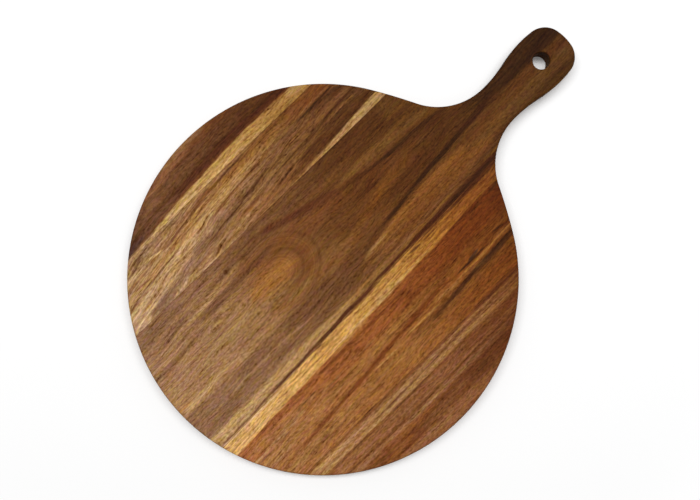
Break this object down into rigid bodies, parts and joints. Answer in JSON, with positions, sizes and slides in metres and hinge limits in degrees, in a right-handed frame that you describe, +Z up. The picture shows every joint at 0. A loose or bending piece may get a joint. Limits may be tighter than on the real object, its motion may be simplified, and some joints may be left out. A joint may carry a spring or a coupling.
{
  "type": "pizza serving board",
  "caption": "Round hardwood serving board with a flared paddle handle and a hanging hole, glued up from straight staves with rounded edges.",
  "frame": {"origin": "centre of the round part, on the underside", "axes": "+Z up through the thickness, +Y out along the handle, +X to the right seen from above with the handle pointing away"},
  "size_m": [0.305, 0.4191, 0.015],
  "materials": {
    "left_edge_wood": "oiled acacia, dark red-brown heartwood with a strip of pale sapwood",
    "left_wood": "oiled acacia, streaky gold and red-brown",
    "handle_wood": "oiled acacia, dark brown heartwood with arched figure",
    "right_wood": "oiled acacia, orange-brown with a band of gold sapwood",
    "right_edge_wood": "oiled acacia, red-brown with fine light and dark lines",
    "glue": "cured wood glue, sanded flush and oiled over"
  },
  "bodies": {
    "root": {"left_edge_stave": "left_edge_wood", "left_stave": "left_wood", "handle_stave": "handle_wood", "right_stave": "right_wood", "right_edge_stave": "right_edge_wood", "outer_left_glue": "glue", "inner_left_glue": "glue", "inner_right_glue": "glue", "outer_right_glue": "glue"}
  },
  "joints": []
}
